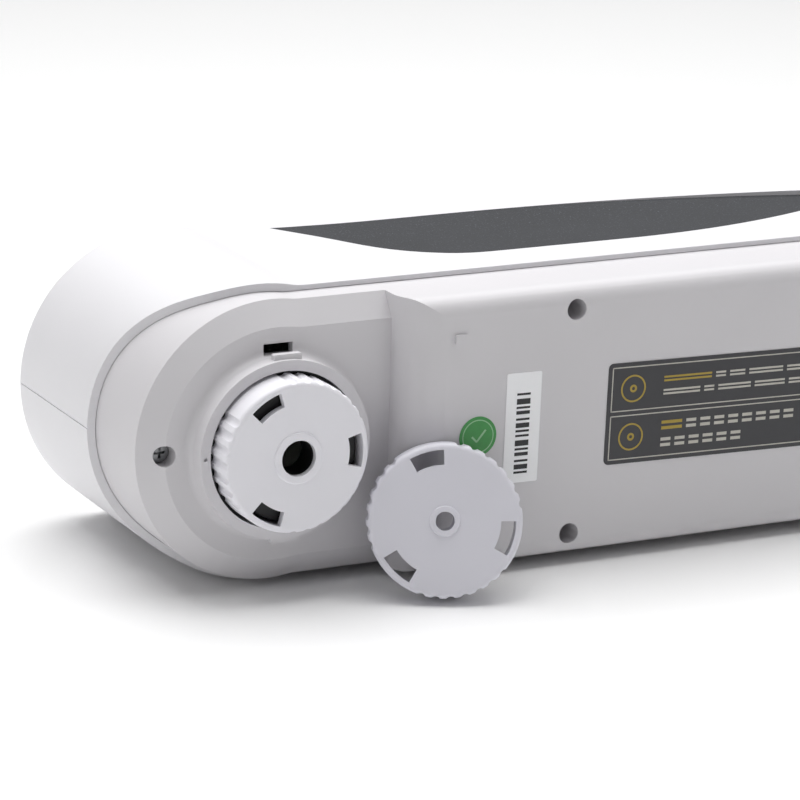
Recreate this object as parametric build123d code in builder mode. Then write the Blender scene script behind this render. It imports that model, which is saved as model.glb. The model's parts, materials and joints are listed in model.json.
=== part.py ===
"""Handheld colour meter with a round measuring head, lying on its side beside its spare aperture cap.

Frame, in millimetres: the origin is on the axis of the measuring port, at the front of its collar.
+X runs along the body to the tail, -Y points out of the port, and +Z is up while the meter lies on
its side. The base side faces -Y and the display side faces +Y.
"""
import os
from math import cos, radians, sin, sqrt

from build123d import *

os.makedirs("parts", exist_ok=True)

# ---- body outline ----
head_radius = 33.8          # outer radius of the round head at the parting line
handle_half_width = 32.6    # half the handle's width at the parting line
kink_round = 12.0           # where the round head runs into the straight handle
tail_x = 171.5
tail_corner = 7.0
shell_wall = 2.0
inner_wall_half_width = handle_half_width - 5.2     # the handle is thicker behind its grips
inner_wall_start = 24.0

# ---- display side ----
head_face_y = 73.6
handle_face_y = 68.3
head_face_end = 6.0
handle_face_start = 37.0
handle_face_end = 75.0
tail_face_y = 58.0
display_edge_round = 3.0
face_wall = 2.4
seam_width, seam_depth = 0.24, 0.3

# ---- parting line between the shells and the base cover ----
nose_lip_y = 31.2
handle_lip_y = 14.8
lip_overlap = 3.0
lip_wall, nose_lip_wall = 1.1, 1.8    # the shells are rebated to this where they cover the base cover
base_gap = 0.12

# ---- base cover ----
base_floor = 2.2
base_side_wall = 2.2
head_plane_y = 5.0
handle_plane_y = -3.9
head_bevel_width = 5.4
head_bevel_depth = 3.7
shoulder_x = 27.4
shoulder_round = 9.3
base_edge_round = 4.2

mark_x, mark_z = 40.1, handle_half_width - 10.5
mark_width, mark_height, mark_lift = 3.0, 2.2, 0.7

# ---- measuring port ----
cap_radius = 17.1
collar_bore = cap_radius + 0.8
collar_radius = collar_bore + 2.4
collar_fillet = 1.6
index_mark_radius = 0.45
port_clearance = 0.15
tab_width = 6.6
tab_thickness = 1.1
tab_length = 1.6
tab_setback = 1.0
relief_width = 7.0
relief_height = 2.6
cap_skirt_bore = cap_radius - 1.4
spigot_radius = cap_skirt_bore - 0.6
spigot_front_y = -3.9
flange_front_y = 3.3
port_bore = 9.0
barrel_flange = 1.8
running_gap = 0.08
ring_side_gap = 0.35

# ---- aperture caps ----
cap_face_y = -6.4
cap_height = 8.0
cap_disc = 1.7
cap_edge_round = 1.2
cap_ring_lift = 0.35
window_inner = cap_radius - 4.8
window_outer = cap_radius - 1.5
window_angle = 29.0
notch_radius = 1.3
notch_depth = 0.5
notch_pitch = 11.0
cap_tube = 6.6
large_aperture_radius, large_ring_radius, large_first_window = 4.05, 5.8, 0.7
small_aperture_radius, small_ring_radius, small_first_window = 2.1, 3.4, -14.0
ring_thickness = 1.1

# ---- grips ----
grip_thickness = 1.8
grip_scoop = 1.5
grip_gap = 0.05
grip_margin = 4.2
grip_foot_y = 27.3
grip_tail_y = 42.0
grip_tail_gap = 7.5

# ---- loose cap, standing on its rim and leaning back against the base cover ----
loose_cap_x = 2 * cap_radius - 2.8
loose_cap_gap = 0.8
loose_cap_yaw = 24.0        # degrees
loose_cap_lean = 14.0       # degrees

# ---- keys ----
key_travel = 0.8
key_lift = 0.7
key_gap = 0.25
key_flange = 1.0
key_flange_rim = 0.8
key_slack = 0.1
mat_clearance = 0.13
small_key = 4.2
cluster_x = 56.0
cluster_pitch = 2 * small_key + 4.1
test_key_x = 94.0
test_key_half_length = 10.0
test_key_half_width = 6.5

# ---- screws ----
screw_head_radius = 2.2
screw_hole_radius = 2.4
screw_shaft_radius = 1.3
screw_thread_gap = 0.03
screw_head_height = 2.0
pilot_radius = 1.5
boss_radius = 3.0
column_radius = boss_radius + 1.1
nose_screw_x = 7.5 - head_radius
handle_screw_x = 69.0
tail_screw_x = tail_x - 19.5
side_screw_z = handle_half_width - 6.5
screw_seat_y = 7.5
nose_screw_seat_y = 10.5
boss_foot_y = 12.0
boss_top_y = 26.0
screw_bite = 8.0
nose_boss_radius = 2.9
nose_boss_foot_y = 14.0
nose_boss_top_y = 44.0


def facing_base(depth):
    """A sketch plane at y = depth that looks out of the base side: its own x is +X, its own y is +Z."""
    return Plane(origin=(0, depth, 0), x_dir=(1, 0, 0), z_dir=(0, -1, 0))


def port_ring(outer, inner, front, back):
    """A ring about the port's axis, from y = front to y = back."""
    with BuildPart() as ring:
        with BuildSketch(facing_base(front)):
            Circle(outer)
            if inner:
                Circle(inner, mode=Mode.SUBTRACT)
        extrude(amount=front - back)
    return ring.part


def body_outline(depth, radius, half_width, tail):
    """The plan outline: a round head that runs into a straight handle with a square tail."""
    join = sqrt(max(radius ** 2 - half_width ** 2, 0.0))
    with BuildSketch(facing_base(depth)) as outline:
        with BuildLine():
            ThreePointArc((join, half_width), (-radius, 0), (join, -half_width))
            Line((join, -half_width), (tail, -half_width))
            Line((tail, -half_width), (tail, half_width))
            Line((tail, half_width), (join, half_width))
        make_face()
        fillet(outline.vertices().sort_by(Axis.X)[-2:], tail_corner)
        fillet(outline.vertices().sort_by(Axis.X)[:2], kink_round)
    return outline.sketch


def side_prism(edge, limit_y, reach=60):
    """Everything between a curve drawn in the X-Y plane and the line y = limit_y."""
    with BuildPart() as prism:
        with BuildSketch(Plane.XY.offset(-reach)):
            with BuildLine() as line:
                add(edge)
                start, end = line.line @ 0, line.line @ 1
                Polyline(end, (end.X, limit_y), (start.X, limit_y), start)
            make_face()
        extrude(amount=2 * reach)
    return prism.part


def display_drop(x):
    """How far the display side has dropped below its straight run at this x."""
    sag = handle_face_y - tail_face_y
    radius = ((tail_x - handle_face_end) ** 2 + sag ** 2) / (2 * sag)
    past = max(x - handle_face_end, 0)
    return radius - sqrt(radius ** 2 - past ** 2)


def display_curve(inset):
    """The display side's profile from past the nose to past the tail, moved in by inset."""
    sag_reach = tail_x - handle_face_end
    sag = handle_face_y - tail_face_y
    radius = (sag_reach ** 2 + sag ** 2) / (2 * sag)
    past_tail = tail_x + 8
    with BuildLine() as curve:
        Line((-60, head_face_y - inset), (head_face_end, head_face_y - inset))
        Spline(
            (head_face_end, head_face_y - inset),
            (handle_face_start, handle_face_y - inset),
            tangents=[(1, 0), (1, 0)],
        )
        Line((handle_face_start, handle_face_y - inset), (handle_face_end, handle_face_y - inset))
        RadiusArc(
            (handle_face_end, handle_face_y - inset),
            (past_tail, handle_face_y - display_drop(past_tail) - inset),
            radius,
        )
    return curve.line


def parting_curve(lift):
    """The parting line's profile, moved towards the display side by lift."""
    with BuildLine() as curve:
        Line((-60, nose_lip_y + lift), (-1.065 * head_radius, nose_lip_y + lift))
        Spline(
            (-1.065 * head_radius, nose_lip_y + lift),
            (-0.7456 * head_radius, nose_lip_y - 3.1 + lift),
            (-0.4734 * head_radius, handle_lip_y + 6.5 + lift),
            (4, handle_lip_y + lift),
            tangents=[(1, 0), (1, 0)],
        )
        Line((4, handle_lip_y + lift), (tail_x + 8, handle_lip_y + lift))
    return curve.line


def shell_envelope(inset):
    """The two shells' common outside, moved in by inset, from the parting line to the display side."""
    with BuildPart() as envelope:
        foot = handle_lip_y - 2
        outline = body_outline(foot, head_radius - inset, handle_half_width - inset, tail_x - inset)
        extrude(outline, amount=head_face_y + 2 - foot, dir=(0, 1, 0))
        add(side_prism(display_curve(inset), 0), mode=Mode.INTERSECT)
    return envelope.part


def grip_outline():
    """The side grip's leaf shape in the X-Y plane."""
    sag_reach = tail_x - handle_face_end
    sag = handle_face_y - tail_face_y
    radius = (sag_reach ** 2 + sag ** 2) / (2 * sag)
    top = handle_face_y - grip_margin
    tip_x = tail_x - grip_tail_gap
    tip_y = top - display_drop(tip_x)
    nose_tip = (25.5, top + 1.2)
    with BuildSketch(Plane.XY) as leaf:
        with BuildLine():
            Spline(
                nose_tip, (34, 51.5), (43, 37.0), (53, 29.6), (66, grip_foot_y), tangents=[(0.6, -1), (1, 0)]
            )
            Line((66, grip_foot_y), (98, grip_foot_y))
            Spline(
                (98, grip_foot_y),
                (tip_x - 26.6, grip_foot_y + 4.9),
                (tip_x - 12, grip_tail_y - 5.2),
                (tip_x, grip_tail_y),
                tangents=[(1, 0), (1, 0.5)],
            )
            Line((tip_x, grip_tail_y), (tip_x, tip_y))
            RadiusArc((tip_x, tip_y), (handle_face_end, top), -radius)
            Spline((handle_face_end, top), (handle_face_start + 3, top), nose_tip,
                   tangents=[(-1, 0), (-1, 0.12)])
        make_face()
    return leaf.sketch


scoop_half_chord = 18.7
scoop_radius = (scoop_half_chord ** 2 + grip_scoop ** 2) / (2 * grip_scoop)
scoop_axis_y = 45.7
scoop_axis_z = handle_half_width - grip_scoop + scoop_radius


def scoop_block(depth):
    """The space above the scooped side surface, moved inwards by depth, on the +Z side."""
    with BuildPart() as block:
        with BuildSketch(Plane.YZ):
            with Locations((scoop_axis_y, scoop_axis_z)):
                Circle(scoop_radius + depth)
        extrude(amount=tail_x + 10)
    return block.part


def side_grip_space(depth):
    """The grip's prism down to the scooped surface, moved inwards by depth, on the +Z side."""
    with BuildPart() as space:
        extrude(grip_outline(), amount=60)
        add(scoop_block(depth), mode=Mode.INTERSECT)
    return space.part


def key_prism(x, z, half_length, half_width, low, grow=0.0):
    """A rounded key's upright body, from y = low to past the display side."""
    end_radius = min(half_length, half_width) + grow - 0.05
    with BuildPart() as prism:
        with BuildSketch(facing_base(low)):
            with Locations((x, z)):
                RectangleRounded(2 * (half_length + grow), 2 * (half_width + grow), end_radius)
        extrude(amount=low - head_face_y - 5)
    return prism.part


keys = {
    "enter_key": (cluster_x, 0, small_key + 1.2, small_key + 1.2),
    "up_key": (cluster_x - cluster_pitch, 0, small_key - 0.8, small_key + 2),
    "down_key": (cluster_x + cluster_pitch, 0, small_key - 0.8, small_key + 2),
    "menu_key": (cluster_x, cluster_pitch + 2, small_key, small_key),
    "back_key": (cluster_x, -cluster_pitch - 2, small_key, small_key),
    "test_key": (test_key_x, 0, test_key_half_length, test_key_half_width),
}

# ---- display window and bezel, let into the head's flat face ----
bezel_radius = head_radius - 5.3
bezel_end = 5.0
bezel_round = 4.0
bezel_depth = 1.4
bezel_gap = 0.1
window_x = -9.0
window_length = 22.0
window_width = 34.0
window_depth = 0.9
module_depth = 4.5

# ---- optical block ----
sphere_radius = 18.0
sphere_bore = sphere_radius - 2
sphere_centre_y = head_plane_y + base_floor + barrel_flange + sphere_radius + 1
sphere_neck_radius = 12.0
sphere_flange_radius = sphere_radius + 4
sphere_flange = 1.5
sphere_screw_circle = sphere_radius + 2
sensor_radius = 3.0
sensor_boss_radius = 6.0
led_board_y = sphere_centre_y + sphere_radius + 2
led_board_radius = 14.0

# ---- boards and battery ----
board_thickness = 1.6
main_board_y = 48.0
main_board_start, main_board_end = 27.0, tail_x - 21.5
main_board_half_width = inner_wall_half_width - 2.4
board_screw_x = (main_board_start + 6, main_board_end - 7)
board_screw_z = main_board_half_width - 5
board_screw_bite = 4.0
post_radius = 2.9
mat_top_y = handle_face_y - face_wall - key_flange - key_travel - mat_clearance - display_drop(
    test_key_x + test_key_half_length + key_flange_rim
)
mat_thickness = 1.2
key_board_thickness = 1.1
mat_start, mat_end = 36.0, 107.0
mat_half_width = main_board_half_width - 3
battery_length = tail_screw_x - handle_screw_x - 23
battery_width = 2 * (side_screw_z - column_radius) - 6
battery_height = 19.0
battery_x = (handle_screw_x + tail_screw_x) / 2 - 4.5

# ---- labels on the base ----
label_thickness = 0.12
rating_label_start, rating_label_length, rating_label_height = 77.5, 58.0, 23.6
serial_label_x, serial_label_width, serial_label_height = 56.1, 8.7, 25.4
rating_label_tilt, serial_label_tilt = -1.2, -1.0
dot_x, dot_z, dot_radius = 45.0, -0.7, 4.6

# ---- tail panel ----
tail_panel_height = 22.0
tail_panel_y = 32.0
tail_panel_depth = 1.5
tail_panel_round = 3.0
usb_width, usb_height = 8.4, 4.2
usb_z = 11.0
tail_panel_width = 2 * usb_z + usb_width + 9.6
jack_radius = 3.4
jack_z = -11.0
slide_slot_width, slide_slot_height = 9.0, 4.4
slider_travel = 3.0
tail_board_x = tail_x - 11.5


def bezel_outline(depth, grow):
    """A disc that is cut off straight where the head's flat face ends."""
    with BuildSketch(facing_base(depth)) as outline:
        Circle(bezel_radius + grow)
        with Locations((bezel_end + grow + bezel_radius, 0)):
            Rectangle(2 * bezel_radius, 4 * bezel_radius, mode=Mode.SUBTRACT)
        fillet(outline.vertices(), bezel_round)
    return outline.sketch


# ======== shells ========
def is_display_rim(edge):
    """True for the edges where the display side meets the side walls, the nose and the tail."""
    middle = edge @ 0.5
    on_face = min((edge @ 0).Y, (edge @ 1).Y) > tail_face_y - 1
    return on_face and (abs(middle.Z) > side_screw_z or middle.X > tail_x - 1 or middle.X < nose_screw_x)


with BuildPart() as whole_shell:
    add(shell_envelope(0))
    fillet(whole_shell.edges().filter_by(is_display_rim), display_edge_round)
    add(side_prism(parting_curve(0), -20), mode=Mode.SUBTRACT)

# the cavity: the head is hollow to its thin wall, and the handle keeps thick walls behind the grips
with BuildPart() as cavity:
    add(shell_envelope(shell_wall))
    add(side_prism(display_curve(face_wall), 0), mode=Mode.INTERSECT)
    with BuildSketch(Plane.YZ.offset(inner_wall_start)):
        wall_foot = handle_lip_y + lip_overlap + 1
        for side in (-1, 1):
            with Locations(((wall_foot + head_face_y) / 2 + 5, side * (inner_wall_half_width + 10))):
                Rectangle(head_face_y - wall_foot + 10, 20)
    extrude(amount=tail_x, mode=Mode.SUBTRACT)

# the base cover's edge fits in a rebate all round the shells' lip
with BuildPart() as lip_rebate:
    rebate_half_width = handle_half_width - lip_wall
    rebate_outline = body_outline(0, head_radius - nose_lip_wall, rebate_half_width, tail_x - lip_wall)
    extrude(rebate_outline, amount=-head_face_y)
    add(side_prism(parting_curve(lip_overlap + base_gap), head_face_y + 20), mode=Mode.SUBTRACT)

# the fine groove where the two shells meet
with BuildPart() as seam_groove:
    with BuildSketch(Plane.XY.offset(-seam_width / 2)):
        with Locations((tail_x / 2, head_face_y / 2)):
            Rectangle(2 * tail_x, 2 * head_face_y)
    extrude(amount=seam_width)
    add(shell_envelope(seam_depth), mode=Mode.SUBTRACT)

grip_pocket = side_grip_space(grip_thickness)

# posts that reach down from the display wall to carry the main board
board_screws_at = [(x, z) for x in board_screw_x for z in (-board_screw_z, board_screw_z)]
with BuildPart() as board_posts:
    with BuildSketch(facing_base(main_board_y + board_thickness)):
        with Locations(*board_screws_at):
            Circle(post_radius)
    extrude(amount=main_board_y + board_thickness - head_face_y)
    with BuildSketch(facing_base(main_board_y + board_thickness)):
        with Locations(*board_screws_at):
            Circle(screw_shaft_radius)
    extrude(amount=-board_screw_bite, mode=Mode.SUBTRACT)
    add(side_prism(display_curve(face_wall / 2), 0), mode=Mode.INTERSECT)

with BuildPart() as shell_blank:
    add(whole_shell.part)
    add(cavity.part, mode=Mode.SUBTRACT)
    add(lip_rebate.part, mode=Mode.SUBTRACT)
    add(seam_groove.part, mode=Mode.SUBTRACT)
    add(grip_pocket, mode=Mode.SUBTRACT)
    add(mirror(grip_pocket, Plane.XY), mode=Mode.SUBTRACT)
    # bosses for the case screws, joined to the thick handle walls
    side_screws = [(x, z) for x in (handle_screw_x, tail_screw_x) for z in (-side_screw_z, side_screw_z)]
    with BuildSketch(facing_base(boss_foot_y)):
        with Locations(*side_screws):
            Circle(boss_radius)
    extrude(amount=boss_foot_y - boss_top_y)
    with BuildSketch(facing_base(boss_foot_y)):
        with Locations(*side_screws):
            Circle(screw_shaft_radius)
    extrude(amount=-screw_bite, mode=Mode.SUBTRACT)
    add(board_posts.part)
    # recess for the bezel and the window's opening through the wall
    extrude(bezel_outline(head_face_y - bezel_depth, bezel_gap), amount=-bezel_depth - 1, mode=Mode.SUBTRACT)
    with BuildSketch(facing_base(head_face_y - face_wall - 1)):
        with Locations((window_x, 0)):
            RectangleRounded(window_length, window_width, 2)
    extrude(amount=-face_wall - 2, mode=Mode.SUBTRACT)
    for key_spot in keys.values():
        add(key_prism(*key_spot, tail_panel_y, key_gap), mode=Mode.SUBTRACT)
    # recess for the tail panel and the opening behind it
    with BuildSketch(Plane.YZ.offset(tail_x - tail_panel_depth)):
        with Locations((tail_panel_y, 0)):
            RectangleRounded(tail_panel_height, tail_panel_width, tail_panel_round)
    extrude(amount=tail_panel_depth + 1, mode=Mode.SUBTRACT)
    with BuildSketch(Plane.YZ.offset(tail_x - shell_wall - 3)):
        with Locations((tail_panel_y, 0)):
            RectangleRounded(tail_panel_height - 4, tail_panel_width - 4, tail_panel_round - 1)
    extrude(amount=shell_wall + 4, mode=Mode.SUBTRACT)

with BuildPart() as left_shell:
    add(shell_blank.part)
    split(bisect_by=Plane.XY, keep=Keep.TOP)
    # the nose screw's boss hangs from a web on the left half's nose wall
    web_foot = nose_lip_y + lip_overlap + 0.8
    with BuildSketch(facing_base(web_foot)):
        with Locations(((nose_screw_x - head_radius + 1) / 2, nose_boss_radius / 2)):
            Rectangle(head_radius + nose_screw_x - 1, nose_boss_radius)
    extrude(amount=web_foot - nose_boss_top_y)
    with BuildSketch(facing_base(nose_boss_foot_y)):
        with Locations((nose_screw_x, 0)):
            Circle(nose_boss_radius)
    extrude(amount=nose_boss_foot_y - nose_boss_top_y)
    with BuildSketch(facing_base(nose_boss_foot_y)):
        with Locations((nose_screw_x, 0)):
            Circle(screw_shaft_radius)
    extrude(amount=-screw_bite, mode=Mode.SUBTRACT)
left_shell.part.label = "left_shell"
export_step(left_shell.part, "parts/left_shell.step")

with BuildPart() as right_shell:
    add(shell_blank.part)
    split(bisect_by=Plane.XY, keep=Keep.BOTTOM)
right_shell.part.label = "right_shell"
export_step(right_shell.part, "parts/right_shell.step")

# ======== grips ========
with BuildPart() as left_grip:
    add(side_grip_space(grip_thickness - grip_gap))
    add(scoop_block(0), mode=Mode.SUBTRACT)
    add(whole_shell.part, mode=Mode.INTERSECT)
left_grip.part.label = "left_grip"
export_step(left_grip.part, "parts/left_grip.step")

with BuildPart() as right_grip:
    add(mirror(left_grip.part, Plane.XY))
right_grip.part.label = "right_grip"
export_step(right_grip.part, "parts/right_grip.step")


# ======== base cover ========
base_radius = head_radius - nose_lip_wall - base_gap
base_half_width = handle_half_width - lip_wall - base_gap
base_tail = tail_x - lip_wall - base_gap
base_back_y = nose_lip_y + lip_overlap + 2
bevel_back_y = head_plane_y + head_bevel_depth

with BuildPart() as head_block:
    head_outline = body_outline(head_plane_y, base_radius, base_half_width, base_tail)
    extrude(head_outline, amount=head_plane_y - base_back_y)
    with BuildSketch(Plane.YZ.offset(shoulder_x + 1)):
        Rectangle(200, 200)
    extrude(amount=200, mode=Mode.SUBTRACT)
    front = head_block.faces().sort_by(Axis.Y)[0]
    cut_end = front.edges().sort_by(Axis.X)[-1]
    bevel_edges = [edge for edge in front.edges() if (edge @ 0.5).X < (cut_end @ 0.5).X - 0.01]
    chamfer(bevel_edges, head_bevel_width, head_bevel_depth, reference=front)

with BuildPart() as base_blank:
    extrude(
        body_outline(handle_plane_y, base_radius, base_half_width, base_tail),
        amount=handle_plane_y - base_back_y,
    )
    fillet(base_blank.faces().sort_by(Axis.Y)[0].edges(), base_edge_round)
    # the head stands back from the handle behind a rounded shoulder
    with BuildSketch(Plane.XY.offset(-60)):
        with BuildLine():
            shoulder_foot_y = handle_plane_y + shoulder_round
            shoulder_end = shoulder_x + shoulder_round
            Line((-60, handle_plane_y - 5), (-60, bevel_back_y))
            Line((-60, bevel_back_y), (shoulder_x, bevel_back_y))
            Line((shoulder_x, bevel_back_y), (shoulder_x, shoulder_foot_y))
            RadiusArc((shoulder_x, shoulder_foot_y), (shoulder_end, handle_plane_y), -shoulder_round)
            Line((shoulder_end, handle_plane_y), (shoulder_end, handle_plane_y - 5))
            Line((shoulder_end, handle_plane_y - 5), (-60, handle_plane_y - 5))
        make_face()
    extrude(amount=120, mode=Mode.SUBTRACT)
    add(head_block.part)
    add(port_ring(collar_radius, 0, 0, head_plane_y + 1))
    collar_foot = base_blank.edges().filter_by(GeomType.CIRCLE).filter_by(
        lambda edge: abs(edge.radius - collar_radius) < 0.01 and abs((edge @ 0).Y - head_plane_y) < 0.01
    )
    fillet(collar_foot, collar_fillet)

# screw columns, no further out than the cover's own outside
with BuildPart() as screw_columns:
    with BuildSketch(facing_base(handle_plane_y)):
        with Locations(*side_screws):
            Circle(column_radius)
    extrude(amount=handle_plane_y - boss_foot_y + base_gap)
    with BuildSketch(facing_base(head_plane_y)):
        with Locations((nose_screw_x, 0)):
            Circle(column_radius)
    extrude(amount=head_plane_y - nose_boss_foot_y + base_gap)
    add(base_blank.part, mode=Mode.INTERSECT)

with BuildPart() as base_cover:
    add(base_blank.part)
    # hollow: a shallow pocket behind the head plane, a wider one behind its bevel, and the handle's trough
    add(port_ring(base_radius - head_bevel_width - 1, 0, head_plane_y + base_floor, base_back_y),
        mode=Mode.SUBTRACT)
    bevel_floor_y = bevel_back_y + base_floor
    add(port_ring(base_radius - base_side_wall, 0, bevel_floor_y, base_back_y), mode=Mode.SUBTRACT)
    trough_start = shoulder_x + 0.6 * shoulder_round
    trough_end = base_tail - base_side_wall
    with BuildSketch(facing_base(handle_plane_y + base_floor)):
        with Locations(((trough_start + trough_end) / 2, 0)):
            RectangleRounded(trough_end - trough_start, 2 * (base_half_width - base_side_wall), 4)
    extrude(amount=handle_plane_y + base_floor - base_back_y, mode=Mode.SUBTRACT)
    with BuildSketch(facing_base(bevel_floor_y)):
        with Locations((trough_start / 2, 0)):
            Rectangle(trough_start + 10, 2 * (base_half_width - base_side_wall))
    extrude(amount=bevel_floor_y - base_back_y, mode=Mode.SUBTRACT)
    add(screw_columns.part)
    add(side_prism(parting_curve(lip_overlap), base_back_y + 20), mode=Mode.SUBTRACT)
    with BuildSketch(facing_base(boss_foot_y)):
        with Locations(*side_screws):
            Circle(boss_radius + base_gap)
    extrude(amount=boss_foot_y - base_back_y, mode=Mode.SUBTRACT)
    with BuildSketch(facing_base(handle_plane_y - 1)):
        with Locations(*side_screws):
            Circle(screw_hole_radius)
    extrude(amount=handle_plane_y - 1 - screw_seat_y, mode=Mode.SUBTRACT)
    with BuildSketch(facing_base(handle_plane_y - 1)):
        with Locations(*side_screws, (nose_screw_x, 0)):
            Circle(pilot_radius)
    extrude(amount=handle_plane_y - 1 - nose_boss_foot_y, mode=Mode.SUBTRACT)
    with BuildSketch(facing_base(handle_plane_y - 1)):
        with Locations((nose_screw_x, 0)):
            Circle(screw_hole_radius)
    extrude(amount=handle_plane_y - 1 - nose_screw_seat_y, mode=Mode.SUBTRACT)
    add(port_ring(collar_bore, 0, -1, base_back_y), mode=Mode.SUBTRACT)
    # two tabs on the collar, with a moulding slot behind the upper one
    with BuildSketch(facing_base(head_plane_y - 2)):
        with Locations((0, collar_radius + relief_height / 2)):
            Rectangle(relief_width, relief_height)
    extrude(amount=-base_floor - 5, mode=Mode.SUBTRACT)
    tab_reach = collar_radius + tab_thickness / 2 - 0.25
    with BuildSketch(facing_base(tab_setback)):
        with Locations((0.6, tab_reach), (0.6, -tab_reach)):
            RectangleRounded(tab_width, tab_thickness + 0.5, 0.4)
    extrude(amount=-tab_length)
    # a small raised mark on the handle
    with BuildSketch(facing_base(handle_plane_y)):
        with Locations((mark_x, mark_z)):
            RectangleRounded(mark_width, mark_height, 0.4)
    extrude(amount=mark_lift)
    # a pin-sized index mark on the collar's face
    with BuildSketch(facing_base(0)):
        with Locations(((collar_radius + collar_bore) / -2, 0)):
            Circle(index_mark_radius)
    extrude(amount=-0.5, mode=Mode.SUBTRACT)
base_cover.part.label = "base_cover"
export_step(base_cover.part, "parts/base_cover.step")

# ======== case screws ========
with BuildPart() as case_screws:
    seats = [(x, z, screw_seat_y, boss_foot_y) for x, z in side_screws]
    for x, z, seat, foot in [*seats, (nose_screw_x, 0, nose_screw_seat_y, nose_boss_foot_y)]:
        with BuildSketch(facing_base(seat)):
            with Locations((x, z)):
                Circle(screw_head_radius)
        extrude(amount=screw_head_height)
        with BuildSketch(facing_base(seat)):
            with Locations((x, z)):
                Circle(screw_shaft_radius - screw_thread_gap)
        extrude(amount=seat - foot - screw_bite + 0.5)
        with BuildSketch(facing_base(seat - screw_head_height)):
            with Locations((x, z)):
                Rectangle(2.6, 0.65)
                Rectangle(0.65, 2.6)
        extrude(amount=-1.0, mode=Mode.SUBTRACT)
case_screws.part.label = "case_screws"
export_step(case_screws.part, "parts/case_screws.step")

# ======== measuring port ========
with BuildPart() as port_barrel:
    add(port_ring(spigot_radius, 0, spigot_front_y, flange_front_y))
    add(port_ring(collar_bore - port_clearance, 0, flange_front_y, head_plane_y + base_floor))
    add(port_ring(collar_bore + 2, 0, head_plane_y + base_floor, head_plane_y + base_floor + barrel_flange))
    fillet(port_barrel.edges().filter_by(GeomType.CIRCLE).sort_by(Axis.Y)[0], 0.6)
    add(port_ring(port_bore, 0, spigot_front_y - 1, base_back_y), mode=Mode.SUBTRACT)
    # the flange stays clear of the nose screw's column
    with BuildSketch(facing_base(head_plane_y + base_floor)):
        with Locations((nose_screw_x, 0)):
            Circle(column_radius + base_gap)
    extrude(amount=-barrel_flange, mode=Mode.SUBTRACT)
port_barrel.part.label = "port_barrel"
export_step(port_barrel.part, "parts/port_barrel.step")

cap_back_y = cap_face_y + cap_height
with BuildPart() as bayonet_ring:
    ring_back_y = flange_front_y - running_gap
    ring_front_y = ring_back_y - ring_thickness
    add(port_ring(collar_bore - ring_side_gap, spigot_radius + running_gap, ring_front_y, ring_back_y))
    with BuildSketch(facing_base(ring_front_y)):
        with PolarLocations((cap_radius + spigot_radius) / 2, 3, 33):
            Rectangle(1.0, 4.0)
    extrude(amount=-0.5, mode=Mode.SUBTRACT)
bayonet_ring.part.label = "bayonet_ring"
export_step(bayonet_ring.part, "parts/bayonet_ring.step")


def aperture_cap(hole_radius, ring_radius, first_window):
    """An aperture cap in its mounted place: a windowed disc with a knurled skirt."""
    with BuildPart() as cap:
        add(port_ring(cap_radius, 0, cap_face_y, cap_back_y))
        fillet(cap.edges().filter_by(GeomType.CIRCLE).sort_by(Axis.Y)[0], cap_edge_round)
        add(port_ring(cap_skirt_bore, 0, cap_face_y + cap_disc, cap_back_y + 1), mode=Mode.SUBTRACT)
        # the aperture's raised ring outside and its tube inside
        add(port_ring(ring_radius, 0, cap_face_y - cap_ring_lift, cap_face_y + cap_disc))
        lift_edge = cap.edges().filter_by(GeomType.CIRCLE).sort_by(Axis.Y)[0]
        fillet(lift_edge, cap_ring_lift - 0.05)
        add(port_ring(ring_radius, 0, cap_face_y + cap_disc, cap_face_y + cap_tube))
        add(port_ring(hole_radius, 0, cap_face_y - 1, cap_back_y), mode=Mode.SUBTRACT)
        for turn in (0, 120, 240):
            with BuildSketch(facing_base(cap_face_y)):
                with BuildLine():
                    CenterArc((0, 0), window_outer, first_window + turn - window_angle / 2, window_angle)
                    CenterArc((0, 0), window_inner, first_window + turn - window_angle / 2, window_angle)
                    for angle in (-window_angle / 2, window_angle / 2):
                        way = radians(first_window + turn + angle)
                        Line(
                            (window_inner * cos(way), window_inner * sin(way)),
                            (window_outer * cos(way), window_outer * sin(way)),
                        )
                make_face()
            extrude(amount=-cap_disc, mode=Mode.SUBTRACT)
            # seven finger notches between two windows
            with BuildSketch(facing_base(cap_face_y - 1)):
                for step in range(-3, 4):
                    way = radians(first_window + turn + 60 + step * notch_pitch)
                    reach = cap_radius + notch_radius - notch_depth
                    with Locations((reach * cos(way), reach * sin(way))):
                        Circle(notch_radius)
            extrude(amount=-cap_height - 2, mode=Mode.SUBTRACT)
    return cap.part


with BuildPart() as aperture_cap_8mm:
    add(aperture_cap(large_aperture_radius, large_ring_radius, large_first_window))
aperture_cap_8mm.part.label = "aperture_cap_8mm"
export_step(aperture_cap_8mm.part, "parts/aperture_cap_8mm.step")

# the spare cap stands on the same surface as the meter and leans back against the base cover
yaw, lean = radians(loose_cap_yaw), radians(loose_cap_lean)
rim_drop = cap_radius * cos(lean) + cap_height * sin(lean)
rim_reach = cos(yaw) * (cap_height * cos(lean) + cap_radius * sin(lean))
loose_cap_plane = Plane(
    origin=(loose_cap_x, handle_plane_y - loose_cap_gap - rim_reach, rim_drop - head_radius),
    x_dir=(cos(yaw), -sin(yaw), 0),
    z_dir=(-sin(yaw) * cos(lean), -cos(yaw) * cos(lean), sin(lean)),
)
mounted_cap_plane = facing_base(cap_face_y)
with BuildPart() as aperture_cap_4mm:
    spare = aperture_cap(small_aperture_radius, small_ring_radius, small_first_window)
    add(loose_cap_plane.from_local_coords(mounted_cap_plane.to_local_coords(spare)))
aperture_cap_4mm.part.label = "aperture_cap_4mm"
export_step(aperture_cap_4mm.part, "parts/aperture_cap_4mm.step")

# ======== optical block ========
sphere_place = Location((0, sphere_centre_y, 0))


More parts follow.
